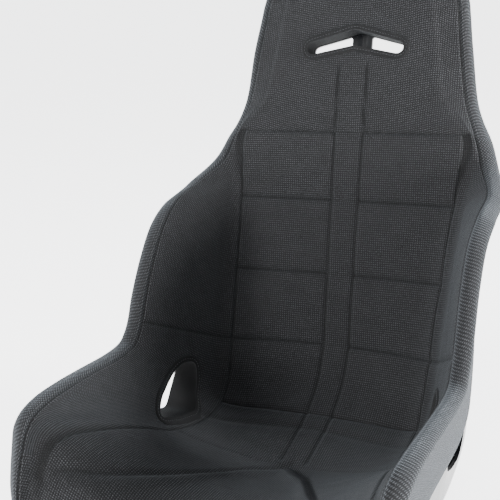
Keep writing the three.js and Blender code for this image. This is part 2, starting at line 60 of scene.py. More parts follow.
clothLook = {
    "pitch": 0.0036,
    "dark": (0.0028, 0.0029, 0.0032, 1),
    "light": (0.043, 0.044, 0.048, 1),
    "fleckShare": 0.42,
    "fleckSpread": (0.22, 0.3),
    "slubScale": (900, 260, 1),
    "fleckScale": (420, 420, 1),
    "mottleScale": (30, 30, 1),
    "sheen": 0.07,
    "bump": 0.0009,
    "foldShade": 0.25,
}


def newMaterial(name):
    material = bpy.data.materials.new(name)
    material.use_nodes = True
    tree = material.node_tree
    shader = tree.nodes["Principled BSDF"]
    return material, tree, shader


def mathNode(tree, operation, first, second=None):
    node = tree.nodes.new("ShaderNodeMath")
    node.operation = operation
    for slot, value in ((0, first), (1, second)):
        if value is None:
            continue
        if hasattr(value, "is_linked"):
            tree.links.new(value, node.inputs[slot])
        else:
            node.inputs[slot].default_value = value
    return node.outputs[0]


def rampNode(tree, factor, stops):
    node = tree.nodes.new("ShaderNodeValToRGB")
    ramp = node.color_ramp
    while len(ramp.elements) < len(stops):
        ramp.elements.new(0.5)
    for element, (place, colour) in zip(ramp.elements, stops):
        element.position = place
        element.color = colour
    tree.links.new(factor, node.inputs["Fac"])
    return node.outputs["Color"]


def noiseNode(tree, vector, scale, detail=2, rough=0.5):
    node = tree.nodes.new("ShaderNodeTexNoise")
    node.inputs["Scale"].default_value = scale
    node.inputs["Detail"].default_value = detail
    node.inputs["Roughness"].default_value = rough
    tree.links.new(vector, node.inputs["Vector"])
    return node.outputs["Fac"]


def mappedVector(tree, vector, scale, turn=0):
    node = tree.nodes.new("ShaderNodeMapping")
    node.inputs["Scale"].default_value = scale
    node.inputs["Rotation"].default_value = (0, 0, turn)
    tree.links.new(vector, node.inputs["Vector"])
    return node.outputs["Vector"]


def waveNode(tree, vector, direction, scale):
    node = tree.nodes.new("ShaderNodeTexWave")
    node.wave_type = "BANDS"
    node.bands_direction = direction
    node.wave_profile = "SIN"
    node.inputs["Scale"].default_value = scale
    tree.links.new(vector, node.inputs["Vector"])
    return node.outputs["Fac"]


def addBump(tree, shader, height, distance, strength=1.0):
    node = tree.nodes.new("ShaderNodeBump")
    node.inputs["Strength"].default_value = strength
    node.inputs["Distance"].default_value = distance
    tree.links.new(height, node.inputs["Height"])
    tree.links.new(node.outputs["Normal"], shader.inputs["Normal"])


# a basket of warp and weft threads, with paler flecks where single threads come up; a second map
# layer holds painted shade, which darkens it in seams and folds
def makeCloth(name, look, turn=0):
    material, tree, shader = newMaterial(name)
    weaveMap = tree.nodes.new("ShaderNodeUVMap")
    weaveMap.uv_map = "UVMap"
    uv = weaveMap.outputs["UV"]
    vector = mappedVector(tree, uv, (1, 1, 1), turn)
    bands = math.pi / 10 / look["pitch"]
    warp = waveNode(tree, vector, "X", bands)
    weft = waveNode(tree, vector, "Y", bands)
    weave = mathNode(tree, "MULTIPLY", warp, weft)
    slub = noiseNode(tree, mappedVector(tree, vector, look["slubScale"]), 1, 2)
    fleck = noiseNode(tree, mappedVector(tree, vector, look["fleckScale"]), 1, 1, 0.7)
    mottle = noiseNode(tree, mappedVector(tree, vector, look["mottleScale"]), 1, 3)
    threads = mathNode(tree, "ADD", weave, mathNode(tree, "MULTIPLY", slub, 0.5))
    lifted = mathNode(tree, "MULTIPLY", threads, fleck)
    share = look["fleckShare"]
    below, above = look["fleckSpread"]
    colour = rampNode(tree, lifted, ((share - below, look["dark"]), (share + above, look["light"])))
    mix = tree.nodes.new("ShaderNodeMix")
    mix.data_type = "RGBA"
    mix.blend_type = "MULTIPLY"
    mix.inputs["Factor"].default_value = 0.5
    tree.links.new(colour, mix.inputs["A"])
    worn = rampNode(tree, mottle, ((0.3, (0.62, 0.62, 0.62, 1)), (0.7, (1, 1, 1, 1))))
    tree.links.new(worn, mix.inputs["B"])
    # painted shade: the second map layer darkens the colour towards foldShade in seams and folds
    fold = tree.nodes.new("ShaderNodeUVMap")
    fold.uv_map = "fold"
    across = tree.nodes.new("ShaderNodeSeparateXYZ")
    tree.links.new(fold.outputs["UV"], across.inputs["Vector"])
    shade = tree.nodes.new("ShaderNodeMix")
    shade.data_type = "RGBA"
    shade.blend_type = "MULTIPLY"
    shade.inputs["Factor"].default_value = 1
    tree.links.new(mix.outputs["Result"], shade.inputs["A"])
    paintedShadeColour = (look["foldShade"],) * 3 + (1,)
    folded = rampNode(tree, across.outputs["X"], ((0.05, (1, 1, 1, 1)), (0.9, paintedShadeColour)))
    tree.links.new(folded, shade.inputs["B"])
    tree.links.new(shade.outputs["Result"], shader.inputs["Base Color"])
    shader.inputs["Roughness"].default_value = 0.92
    shader.inputs["Specular IOR Level"].default_value = 0.25
    shader.inputs["Sheen Weight"].default_value = look["sheen"]
    shader.inputs["Sheen Roughness"].default_value = 0.45
    shader.inputs["Sheen Tint"].default_value = (0.62, 0.7, 0.78, 1)
    height = mathNode(tree, "ADD", weave, mathNode(tree, "MULTIPLY", slub, 0.6))
    addBump(tree, shader, height, look["bump"])
    return material


def makePlain(name, colour, roughness, metallic=0.0, coat=0.0, grain=0.0, grainScale=400, gloss=0.5):
    material, tree, shader = newMaterial(name)
    shader.inputs["Specular IOR Level"].default_value = gloss
    place = tree.nodes.new("ShaderNodeTexCoord").outputs["Object"]
    grainy = noiseNode(tree, place, grainScale, 3)
    low = tuple(c * 0.7 for c in colour) + (1,)
    high = tuple(min(c * 1.3, 1) for c in colour) + (1,)
    tree.links.new(rampNode(tree, grainy, ((0.35, low), (0.65, high))), shader.inputs["Base Color"])
    shader.inputs["Metallic"].default_value = metallic
    shader.inputs["Coat Weight"].default_value = coat
    shader.inputs["Coat Roughness"].default_value = 0.05
    patchy = noiseNode(tree, place, 14, 3)
    smooth = (roughness * 0.8,) * 3 + (1,)
    rough = (min(roughness * 1.25, 1),) * 3 + (1,)
    spread = rampNode(tree, patchy, ((0.3, smooth), (0.7, rough)))
    tree.links.new(spread, shader.inputs["Roughness"])
    if grain:
        addBump(tree, shader, grainy, grain)
    return material


tweed = makeCloth("charcoalTweed", clothLook)
tweedAcross = makeCloth("charcoalTweedTurned", {**clothLook, "sheen": 0.22}, math.radians(45))
bindingLook = {"pitch": 0.0013, "light": (0.009, 0.009, 0.0095, 1), "bump": 0.0002, "sheen": 0.03}
bindingCloth = makeCloth("bindingCloth", {**clothLook, **bindingLook})
threadLook = makePlain("stitchThread", (0.03, 0.032, 0.036), 0.6, grain=0.0001, grainScale=2500)
foamLook = makePlain("openCellFoam", (0.006, 0.0055, 0.005), 0.95, grain=0.0008, grainScale=900)
gelcoatLook = makePlain(
    "blackGelcoat", (0.005, 0.0055, 0.0065), 0.2, coat=0.04, grain=0.00008, grainScale=60, gloss=0.18
)
rawEdgeLook = makePlain("rawLaminateEdge", (0.10, 0.048, 0.03), 0.7, grain=0.0006, grainScale=500)
zincLook = makePlain("zincPlate", (0.5, 0.51, 0.53), 0.3, metallic=1.0, grainScale=120)
tapeLook = makePlain("hookTape", (0.012, 0.012, 0.013), 0.95, grain=0.0006, grainScale=1500)
print("materials made")

# ---- the shaped surfaces, in millimetres of the seat's own drawing

coverStations = [
    ((0, 130, 753), (112, 130, 753), (150, 118, 747)),
    ((0, 119, 715), (128, 119, 715), (163, 124, 711)),
    ((0, 95, 637), (142, 97, 637), (174, 100, 635)),
    ((0, 72, 561), (158, 75, 561), (187, 82, 555)),
    ((0, 56, 504), (200, 56, 504), (207, 62, 501)),
    ((0, 43, 451), (200, 42, 451), (223, 38, 457)),
    ((0, 35, 417), (195, 34, 417), (244, -18, 430)),
    ((0, 26, 381), (192, 22, 381), (246, -92, 413)),
    ((0, 13, 331), (188, 3, 333), (244, -145, 383)),
    ((0, 0, 276), (185, -20, 279), (244, -185, 335)),
    ((0, -15, 218), (181, -44, 223), (245, -215, 283)),
    ((0, -29, 161), (178, -68, 167), (245, -232, 247)),
    ((0, -62, 106), (175, -92, 109), (245, -247, 227)),
    ((0, -113, 73), (173, -122, 71), (246, -264, 216)),
    ((0, -175, 53), (176, -196, 67), (247, -305, 212)),
    ((0, -237, 43), (186, -268, 89), (248, -365, 215)),
    ((0, -315, 59), (204, -355, 135), (248, -425, 217)),
    ((0, -395, 75), (220, -435, 169), (247, -478, 217)),
    ((0, -460, 75), (233, -498, 187), (245, -520, 210)),
    ((0, -506, 62), (236, -530, 175), (243, -547, 185)),
    ((0, -521, 47), (235, -558, 113), (243, -570, 121)),
    ((0, -521, 30), (231, -563, 44), (241, -574, 62)),
]
shellStations = [
    ((0, 160, 749), (112, 156, 749), (152, 132, 745)),
    ((0, 151, 711), (130, 146, 711), (166, 137, 709)),
    ((0, 130, 631), (144, 124, 631), (178, 114, 633)),
    ((0, 106, 555), (162, 102, 555), (192, 98, 553)),
    ((0, 90, 498), (200, 86, 498), (214, 80, 499)),
    ((0, 76, 445), (206, 72, 445), (234, 52, 454)),
    ((0, 68, 411), (207, 60, 411), (258, -10, 425)),
    ((0, 58, 375), (207, 48, 375), (260, -86, 409)),
    ((0, 45, 325), (208, 30, 325), (258, -140, 381)),
    ((0, 30, 270), (210, 8, 269), (258, -181, 334)),
    ((0, 14, 211), (214, -16, 209), (259, -212, 283)),
    ((0, -1, 151), (221, -42, 145), (259, -229, 247)),
    ((0, -36, 85), (227, -70, 79), (259, -245, 226)),
    ((0, -98, 45), (231, -112, 41), (260, -263, 214)),
    ((0, -172, 23), (234, -190, 21), (261, -305, 210)),
    ((0, -240, 13), (237, -262, 17), (262, -366, 212)),
    ((0, -318, 15), (239, -340, 21), (262, -426, 214)),
    ((0, -396, 18), (241, -412, 25), (261, -480, 212)),
    ((0, -450, 21), (242, -470, 31), (259, -518, 201)),
    ((0, -482, 24), (240, -510, 36), (256, -538, 177)),
    ((0, -497, 27), (235, -532, 33), (255, -556, 117)),
    ((0, -503, 26), (230, -540, 29), (254, -560, 60)),
]
sectionShape = {
    "seamAt": 0.5,
    "cornerSpan": 0.13,
    "crownPower": 2.2,
    "headLength": 1.25,
    "headInset": 0.3,
}
layers = {
    "shellWall": 5,
    "clothWall": 2,
    "outerPad": 6.5,
    "rimBulge": 11,
    "foamGap": 2.8,
    "wrapWidth": 72,
    "headWrapWidth": 34,
    "hemWidth": 24,
}
# stations, counted down the seat from the top of the head
neck = 4  # head wraps meet the outer wraps, and the back panel begins
boltSplit = 11.0  # channel that runs on across the bolsters
hip = 13  # back panel meets the cushion panel
crownEnd = 15.0  # last crown between the channels
skirtTop = 19.2  # cushion panel meets the front skirt
last = len(coverStations) - 1


def tableOf(stations):
    return [np.array([row[k] for row in stations], float) for k in range(3)]


coverTable = tableOf(coverStations)
shellTable = tableOf(shellStations)


# a smooth curve through the stations of one column
def along(column, s):
    s = np.clip(s, 0, last)
    i = np.minimum(np.floor(s).astype(int), last - 1)
    t = (s - i)[:, None]
    a, b = column[i], column[i + 1]
    before = column[np.maximum(i - 1, 0)]
    after = column[np.minimum(i + 2, last)]
    square = (2 * before - 5 * a + 4 * b - after) * t * t
    return 0.5 * (2 * a + (b - before) * t + square + (3 * a - before - 3 * b + after) * t ** 3)


# the section from the centre line (0) over the panel seam (0.5) to the ridge seam (1)
def sectionPoint(table, s, share):
    spine, seam, ridge = (along(column, s) for column in table)
    seamAt = sectionShape["seamAt"]
    start = seamAt - sectionShape["cornerSpan"]
    end = seamAt + sectionShape["cornerSpan"]
    step = 1e-3

    def panel(q):
        t = np.maximum(q / seamAt, 0)[:, None]
        point = spine + (seam - spine) * t ** sectionShape["crownPower"]
        point[:, 0] = seam[:, 0] * (q / seamAt)
        return point

    def wing(q):
        return seam + (ridge - seam) * ((q - seamAt) / (1 - seamAt))[:, None]

    full = np.full_like(share, 1.0)
    span = end - start
    slopeIn = (panel(full * start) - panel(full * (start - step))) * span / step
    slopeOut = (wing(full * (end + step)) - wing(full * end)) * span / step
    c = np.clip((share - start) / span, 0, 1)[:, None]
    corner = (
        panel(full * start) * (2 * c ** 3 - 3 * c ** 2 + 1)
        + slopeIn * (c ** 3 - 2 * c ** 2 + c)
        + wing(full * end) * (3 * c ** 2 - 2 * c ** 3)
        + slopeOut * (c ** 3 - c ** 2)
    )
    point = np.where((share <= start)[:, None], panel(share), corner)
    return np.where((share >= end)[:, None], wing(share), point)


# how far out the section goes: less than 1 only where the corners of the head are rounded
def reachAt(s):
    length, inset = sectionShape["headLength"], sectionShape["headInset"]
    t = np.clip(1 - s / length, 0, 1)
    return 1 - inset + inset * np.sqrt(1 - t * t)


def surfacePoint(table, s, u):
    point = sectionPoint(table, s, np.abs(u))
    point[:, 0] *= np.where(u < 0, -1, 1)
    return point


def normalAt(table, s, u):
    ds, du = 0.06, 0.02
    side = np.where(u < 0, -1.0, 1.0)
    q = np.abs(u)
    down = surfacePoint(table, np.minimum(s + ds, last), u) - surfacePoint(table, np.maximum(s - ds, 0), u)
    across = surfacePoint(table, s, side * np.minimum(q + du, 1)) - surfacePoint(
        table, s, side * np.maximum(q - du, 1e-6)
    )
    normal = np.cross(down, across * side[:, None])
    return normal / np.linalg.norm(normal, axis=1)[:, None]


# a point at a depth under a surface: positive depths lie outboard of it
def under(table, s, u, depth):
    return surfacePoint(table, s, u) - normalAt(table, s, u) * np.reshape(depth, (-1, 1))


# ---- sewn relief of the cover

sewn = {
    "channels": (4.0, 6.64, 9.0, 11.0, 13.0),
    "channelDepth": 3.4,
    "channelWidth": 4.0,
    "crown": 3.0,
    "stripHalfWidth": 24,
    "stripTop": 2.35,
    "stripDepth": 2.4,
    "stripWidth": 3.2,
    "stripCross": 0.3,
    "seamDepth": 2.6,
    "seamWidth": 3.0,
    "deepest": 4.6,
    "ridgeDepth": 1.8,
    "ridgeWidth": 2.6,
    "lineWidth": 1.7,
    "creaseDepth": 4.0,
    "creaseWidth": 9.0,
    "foldDepth": 1.8,
    "foldWidth": 8.0,
    "wrinkle": 0.9,
    "coarseWrinkle": (9, 22, 16),
    "fineWrinkle": (30, 45, 40),
    "neckFade": {"amount": 0.75, "from": 0.3, "span": 0.2},
    "panelEdge": (0.53, 0.012),
    "boltReach": 1.03,
    "hipFoldAt": 13.5,
    "stripEnd": 14.85,
    "seamEnd": 19.6,
    "lip": {"height": 3.0, "beyond": 22, "width": 16},
}
# the crease that starts the raised front of the cushion: share of the section and station
creaseLine = ((0, 15.0), (0.12, 15.6), (0.27, 17.2), (0.36, 18.2), (0.44, 19.0), (0.5, 19.6))


def groove(distance, width):
    return np.exp(-((distance / width) ** 2))


# millimetres of surface for one station
def stationLength(s, u):
    step = 0.05
    gap = surfacePoint(coverTable, np.minimum(s + step, last), u) - surfacePoint(
        coverTable, np.maximum(s - step, 0), u
    )
    return np.linalg.norm(gap, axis=1) / (2 * step)


# how far the cloth stands proud of the plain surface, in millimetres
def reliefAt(s, u):
    return sewnAt(s, u)[0]


# the same relief, and how much painted shade each point gets in a seam or fold, from 0 to 1
def sewnAt(s, u):
    q = np.abs(u)
    length = stationLength(s, u)
    edgeAt, edgeSoft = sewn["panelEdge"]
    inPanel = 1 / (1 + np.exp((q - edgeAt) / edgeSoft))
    stations = sewn["channels"]
    crown = np.zeros_like(s)
    bands = (0.0,) + stations + (crownEnd,)
    for top, bottom in zip(bands, bands[1:]):
        share = np.clip((s - top) / (bottom - top), 0, 1)
        crown = np.maximum(crown, np.sqrt(np.maximum(np.sin(share * math.pi), 0)))
    out = sewn["crown"] * crown * inPanel * np.where(s < crownEnd, 1, 0)
    halfWidth = sewn["stripHalfWidth"] * np.clip(1.05 - 0.012 * s, 0.8, 1.05)
    seamX = along(coverTable[1], s)[:, 0]
    x = q * seamX / 0.5
    crossing = np.where(x < halfWidth, sewn["stripCross"], 1.0)
    # painted shade, from 0 to 1, gathered from every groove, crease and fold
    fold = np.zeros_like(s)

    # each groove is cut into the relief and gets painted shade along its line, weighted by dark
    def sew(distance, depth, width, reach, dark=1.0):
        nonlocal out
        out = out - depth * groove(distance, width) * reach
        line = groove(distance, sewn["lineWidth"]) + 0.35 * groove(distance, 2.2 * sewn["lineWidth"])
        np.maximum(fold, np.clip(line, 0, 1) * reach * dark, out=fold)

    for station in stations:
        bound = sewn["boltReach"] if station in (neck, boltSplit) else 0.5
        onBolster = (q > 0.5) & (station == boltSplit)
        reach = crossing * np.where(q < bound, 1, 0) * np.where(onBolster, 0.8, 1)
        if station == neck:
            fade = sewn["neckFade"]
            reach = reach * (1 - fade["amount"] * np.clip((q - fade["from"]) / fade["span"], 0, 1))
        sew((s - station) * length, sewn["channelDepth"], sewn["channelWidth"], reach, 0.85)
    fromStrip = x - halfWidth
    ends = 1 / (1 + np.exp((sewn["stripTop"] - s) / 0.03)) / (1 + np.exp((s - sewn["stripEnd"]) / 0.05))
    sew(fromStrip, sewn["stripDepth"], sewn["stripWidth"], ends, 0.9)
    sideSpan = np.linalg.norm(along(coverTable[2], s) - along(coverTable[1], s), axis=1) / 0.5
    fromSeam = np.abs(q - 0.5) * np.where(q < 0.5, seamX / 0.5, sideSpan)
    seamReach = np.where(s > neck - 0.05, 1, 0) * np.where(s < sewn["seamEnd"], 1, 0.3)
    sew(fromSeam, sewn["seamDepth"], sewn["seamWidth"], seamReach)
    fromRidge = (reachAt(s) - q) * np.maximum(sideSpan, 40)
    sew(fromRidge, sewn["ridgeDepth"], sewn["ridgeWidth"], np.ones_like(s))
    creaseAt = np.interp(q, [p[0] for p in creaseLine], [p[1] for p in creaseLine])
    fromCrease = (s - creaseAt) * length * 0.72
    sew(fromCrease, sewn["creaseDepth"], sewn["creaseWidth"], inPanel, 0.6)
    lip = sewn["lip"]
    out += lip["height"] * groove(fromCrease - lip["beyond"], lip["width"]) * inPanel
    fromFold = (s - sewn["hipFoldAt"] - 0.5 * q) * length
    sew(fromFold, sewn["foldDepth"], sewn["foldWidth"], inPanel, 0.5)
    # grooves that cross add up, so depths beyond 2 mm level off towards the deepest
    left = sewn["deepest"] - 2
    out = np.where(out < -2, -2 - left * np.tanh((-2 - out) / left), out)
    return out, fold


def wrinkleAt(points):
    folds = np.empty(len(points))
    for i, point in enumerate(points * millimetre):
        coarse = noise.noise(point * sewn["coarseWrinkle"])
        folds[i] = coarse + 0.5 * noise.noise(point * sewn["fineWrinkle"])
    return folds * sewn["wrinkle"]


# the sewn top of the cover, a depth below it, at scaled shares of the section
def coverAt(s, u, depth=0.0):
    across = u * reachAt(s)
    points = under(coverTable, s, across, depth - reliefAt(s, across))
    return points + normalAt(coverTable, s, across) * wrinkleAt(points)[:, None]


def shellAt(s, u, depth):
    return under(shellTable, s, u * reachAt(s), depth)


def toFrame(points):
    moved = points.copy()
    moved[:, 1] += shiftY
    return moved * millimetre


# ---- making closed pieces from a mapped block, and what every piece says to the frame

def finishPiece(piece, nodes, materials):
    for material in materials:
        piece.data.materials.append(material)
    piece.data.set_sharp_from_angle(angle=math.radians(50))
    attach(piece, "root")
    if nodes:
        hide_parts(*nodes)


def objectOf(bm, name):
    for face in bm.faces:
        face.smooth = True
    mesh = bpy.data.meshes.new(name)
    bm.to_mesh(mesh)
    bm.free()
    piece = bpy.data.objects.new(name, mesh)
    bpy.context.collection.objects.link(piece)
    return piece


# a flat block of two skins; pointAt(row, column, skin) gives the place of every vertex, with
# row and column from 0 to 1 and skin 0 on top and 1 underneath; the optional second function
# gives the painted shade of seams and folds at each place, and a ring joins its last row to its first
def mappedBlock(name, rows, columns, pointAt, paintedShadeAt=None, ring=False):
    bm = bmesh.new()
    bmesh.ops.create_grid(bm, x_segments=columns, y_segments=rows, size=1)
    under = bmesh.ops.extrude_face_region(bm, geom=bm.faces[:], use_keep_orig=True)
    lowered = [v for v in under["geom"] if isinstance(v, bmesh.types.BMVert)]
    bmesh.ops.translate(bm, verts=lowered, vec=(0, 0, -1))
    flat = np.array([v.co for v in bm.verts])
    row, column, skin = (flat[:, 1] + 1) / 2, (flat[:, 0] + 1) / 2, -flat[:, 2]
    points = np.empty((len(flat), 3))
    for side in (0, 1):
        here = np.abs(skin - side) < 0.5
        points[here] = pointAt(row[here], column[here], side)
    placed = toFrame(points)
    order = np.lexsort((np.round(column, 5), np.round(row, 5), skin))
    grid = placed[order].reshape(2, rows + 1, columns + 1, 3)
    stepAcross = np.linalg.norm(np.diff(grid, axis=2), axis=3)
    stepAlong = np.linalg.norm(np.diff(grid, axis=1), axis=3)
    firstColumn = np.zeros_like(stepAcross[:, :, :1])
    firstRow = np.zeros_like(stepAlong[:, :1])
    acrossSum = np.concatenate([firstColumn, np.cumsum(stepAcross, axis=2)], axis=2)
    acrossSum -= acrossSum[:, :, columns // 2 : columns // 2 + 1]
    alongSum = np.concatenate([firstRow, np.cumsum(stepAlong, axis=1)], axis=1)
    uv = np.empty((len(flat), 2))
    uv[order, 0] = acrossSum.ravel()
    uv[order, 1] = alongSum.ravel()
    # painted shade of seams and folds, kept in a second map layer for the cloth's colour
    fold = np.zeros(len(flat)) if paintedShadeAt is None else paintedShadeAt(row, column)
    layer = bm.loops.layers.uv.new("UVMap")
    paintedShadeLayer = bm.loops.layers.uv.new("fold")
    bm.verts.index_update()
    if ring:
        ends = [f for f in bm.faces if all(abs(v.co.y) > 0.9999 for v in f.verts)]
        bmesh.ops.delete(bm, geom=ends, context="FACES_ONLY")
    for vertex, place in zip(bm.verts, placed):
        vertex.co = place
    for face in bm.faces:
        for loop in face.loops:
            loop[layer].uv = uv[loop.vert.index]
            loop[paintedShadeLayer].uv = (fold[loop.vert.index], 0)
    if ring:
        bmesh.ops.remove_doubles(bm, verts=bm.verts, dist=1e-6)
    bmesh.ops.recalc_face_normals(bm, faces=bm.faces)
    return objectOf(bm, name)


def panelBlock(name, sRange, uRange, top, bottom, step=3.0):
    s0, s1 = sRange
    u0, u1 = uRange
    middle = (s0 + s1) / 2
    rowLine = surfacePoint(coverTable, np.linspace(s0, s1, 60), np.full(60, (u0 + u1) / 2))
    columnLine = surfacePoint(coverTable, np.full(60, middle), np.linspace(u0, u1, 60))
    rows = int(np.linalg.norm(np.diff(rowLine, axis=0), axis=1).sum() / step) + 1
    columns = int(np.linalg.norm(np.diff(columnLine, axis=0), axis=1).sum() / step) + 1

    def pointAt(row, column, skin):
        s = s0 + (s1 - s0) * row
        u = u0 + (u1 - u0) * column
        return (bottom if skin else top)(s, u)

    # painted shade for the sewn grooves, creases and folds of the cover
    def paintedShadeAt(row, column):
        s = s0 + (s1 - s0) * row
        u = u0 + (u1 - u0) * column
        return sewnAt(s, u * reachAt(s))[1]

    return mappedBlock(name, rows, columns, pointAt, paintedShadeAt)


# ---- camera, light and floor

view = {
    "place": (559.6, -1490.5, 767.1),
    "azimuth": 25.9,
    "elevation": 15.54,
    "roll": -2.93,
    "lens": 72,
    "sensor": 36,
}
azimuth, elevation, roll = (math.radians(view[k]) for k in ("azimuth", "elevation", "roll"))
back = Vector(
    (
        math.sin(azimuth) * math.cos(elevation),
        -math.cos(azimuth) * math.cos(elevation),
        math.sin(elevation),
    )
)
level = Vector((math.cos(azimuth), math.sin(azimuth), 0))
upward = level.cross(-back)
rightward = level * math.cos(roll) + upward * math.sin(roll)
upright = upward * math.cos(roll) - level * math.sin(roll)
cameraData = bpy.data.cameras.new("viewCamera")
cameraData.lens = view["lens"]
cameraData.sensor_width = view["sensor"]
camera = bpy.data.objects.new("viewCamera", cameraData)
bpy.context.collection.objects.link(camera)
turned = Matrix((rightward, upright, back)).transposed().to_4x4()
cameraPlace = Vector(toFrame(np.array([view["place"]]))[0])
camera.matrix_world = Matrix.Translation(cameraPlace) @ turned
bpy.context.scene.camera = camera

studio = {
    "key": {"place": (-1.9, -3.2, 1.25), "aim": (0, 0.1, 0.5), "size": 1.2, "power": 330},
    "rim": {"place": (2.9, 0.2, 0.55), "aim": (0, -0.1, 0.25), "size": 0.9, "power": 380},
    "top": {"place": (0.3, 1.4, 3.4), "aim": (0, 0.2, 0.4), "size": 2.4, "power": 30},
    "sky": 1.3,
    "floor": 0.92,
    "floorGlow": 2.8,
    "floorSize": 90,
}


def areaLight(name, place, aim, size, power):
    data = bpy.data.lights.new(name, "AREA")
    data.shape = "DISK"
    data.size = size
    data.energy = power
    lamp = bpy.data.objects.new(name, data)
    bpy.context.collection.objects.link(lamp)
    lamp.location = place
    lamp.rotation_euler = (Vector(aim) - Vector(place)).to_track_quat("-Z", "Y").to_euler()


for lampName in ("key", "rim", "top"):
    areaLight(lampName, **studio[lampName])
world = bpy.data.worlds.new("studioSky")
world.use_nodes = True
world.node_tree.nodes["Background"].inputs["Color"].default_value = (0.95, 0.97, 1.0, 1)
world.node_tree.nodes["Background"].inputs["Strength"].default_value = studio["sky"]
bpy.context.scene.world = world

bm = bmesh.new()
bmesh.ops.create_grid(bm, x_segments=1, y_segments=1, size=studio["floorSize"])
floor = objectOf(bm, "floor")
floorLook, _, floorShader = newMaterial("paleFloor")
floorShader.inputs["Base Color"].default_value = (studio["floor"],) * 3 + (1,)
floorShader.inputs["Roughness"].default_value = 0.8
floorShader.inputs["Emission Color"].default_value = (1, 1, 1, 1)
floorShader.inputs["Emission Strength"].default_value = studio["floorGlow"]
floor.data.materials.append(floorLook)
print("camera and light set")

# ---- openings

slotShape = {
    "outline": (
        (-83, -4.5), (-75, -10), (0, 5), (75, -10), (83, -4.5),
        (83, 6), (77, 10), (0, 31), (-77, 10), (-83, 6),
    ),
    "corner": 6,
}
beltShape = {
    "outline": ((-177, 162), (-151, 155), (-156, 127), (-189, 87), (-239, 96), (-281, 111), (-260, 130)),
    "corner": 14,
    "inShell": 10,
}
slotStation = 2
slotY, slotZ = coverStations[slotStation][0][1:]
neckY, neckZ = coverStations[neck][0][1:]
slotTilt = math.atan2(slotY - neckY, slotZ - neckZ)
slotCentre = Vector((0, slotY, slotZ))


# an outline with its corners rounded, as evenly spaced points
def roundedOutline(outline, corner, spacing=3.0):
    points = [Vector(p) for p in outline]
    count = len(points)
    path = []
    for i, point in enumerate(points):
        ends = []
        for other in (points[i - 1], points[(i + 1) % count]):
            length = (other - point).length
            ends.append(point.lerp(other, min(corner / length, 0.45)))
        for k in range(9):
            t = k / 8
            path.append(ends[0] * (1 - t) ** 2 + point * 2 * t * (1 - t) + ends[1] * t * t)
    ring = np.array([tuple(p) for p in path])
    closed = np.vstack([ring, ring[:1]])
    travel = np.concatenate([[0], np.cumsum(np.linalg.norm(np.diff(closed, axis=0), axis=1))])
    number = max(int(travel[-1] / spacing), 24)
    places = np.linspace(0, travel[-1], number, endpoint=False)
    return np.stack([np.interp(places, travel, closed[:, k]) for k in range(2)], axis=1)


def slotToSeat(flat, out):
    t = slotTilt
    x = flat[:, 0]
    y = slotCentre.y + flat[:, 1] * math.sin(t) - out * math.cos(t)
    z = slotCentre.z + flat[:, 1] * math.cos(t) + out * math.sin(t)
    return np.stack([x, y, z], axis=1)


def beltToSeat(side):
    return lambda flat, out: np.stack([side * out, flat[:, 0], flat[:, 1]], axis=1)


def grownOutline(ring, distance):
    ahead = np.roll(ring, -1, axis=0) - np.roll(ring, 1, axis=0)
    ahead /= np.linalg.norm(ahead, axis=1)[:, None]
    normal = np.stack([ahead[:, 1], -ahead[:, 0]], axis=1)
    area = np.sum(ring[:, 0] * np.roll(ring[:, 1], -1) - np.roll(ring[:, 0], -1) * ring[:, 1])
    return ring + normal * math.copysign(distance, area)


# a prism of an outline, used only to cut
def cutterOf(ring, toSeat, low, high, material):
    bm = bmesh.new()
    start = toFrame(toSeat(ring, np.full(len(ring), low)))
    verts = [bm.verts.new(p) for p in start]
    face = bm.faces.new(verts)
    moved = toFrame(toSeat(ring[:1], np.array([high])))[0] - start[0]
    made = bmesh.ops.extrude_face_region(bm, geom=[face], use_keep_orig=True)
    top = [v for v in made["geom"] if isinstance(v, bmesh.types.BMVert)]
    bmesh.ops.translate(bm, verts=top, vec=Vector(moved))
    bmesh.ops.recalc_face_normals(bm, faces=bm.faces)
    cutter = objectOf(bm, "cutter")
    cutter.data.materials.append(material)
    return cutter


def cutOpenings(piece, cutters):
    for cutter in cutters:
        cut = piece.modifiers.new("opening", "BOOLEAN")
        cut.operation = "DIFFERENCE"
        cut.solver = "EXACT"
        cut.material_mode = "TRANSFER"
        cut.object = cutter
    graph = bpy.context.evaluated_depsgraph_get()
    mesh = bpy.data.meshes.new_from_object(piece.evaluated_get(graph))
    piece.modifiers.clear()
    old = piece.data
    piece.data = mesh
    mesh.name = piece.name
    bpy.data.meshes.remove(old)


slotRing = roundedOutline(slotShape["outline"], slotShape["corner"])
beltRing = roundedOutline(beltShape["outline"], beltShape["corner"])
sides = {"left": -1, "right": 1}
through = 90
beltReach = (120, 330)
clearance = {"cover": 1.2, "foam": 2.6}


# the harness slot's cutter, then those of the left and right lap openings
def openingCutters(growth, material, shellGrowth=None):
    beltGrowth = growth if shellGrowth is None else shellGrowth
    made = [cutterOf(grownOutline(slotRing, growth), slotToSeat, -through, through, material)]
    for side in sides.values():
        ring = grownOutline(beltRing, beltGrowth)
        made.append(cutterOf(ring, beltToSeat(side), *beltReach, material))
    return made


def removeCutters(cutters):
    for cutter in cutters:
        bpy.data.objects.remove(cutter, do_unlink=True)


# ---- cover panels

clothBottom = layers["clothWall"]


def coverTop(s, u):
    return coverAt(s, u, 0)


def coverUnder(s, u):
    return coverAt(s, u, clothBottom)


def shellFront(s, u):
    return shellAt(s, u, 0)


def shellBack(s, u):
    return shellAt(s, u, layers["shellWall"])


def bothSides(side, low, high):
    return (-high, -low) if side < 0 else (low, high)


def treeOf(piece):
    places = [v.co for v in piece.data.vertices]
    return BVHTree.FromPolygons(places, [p.vertices for p in piece.data.polygons])


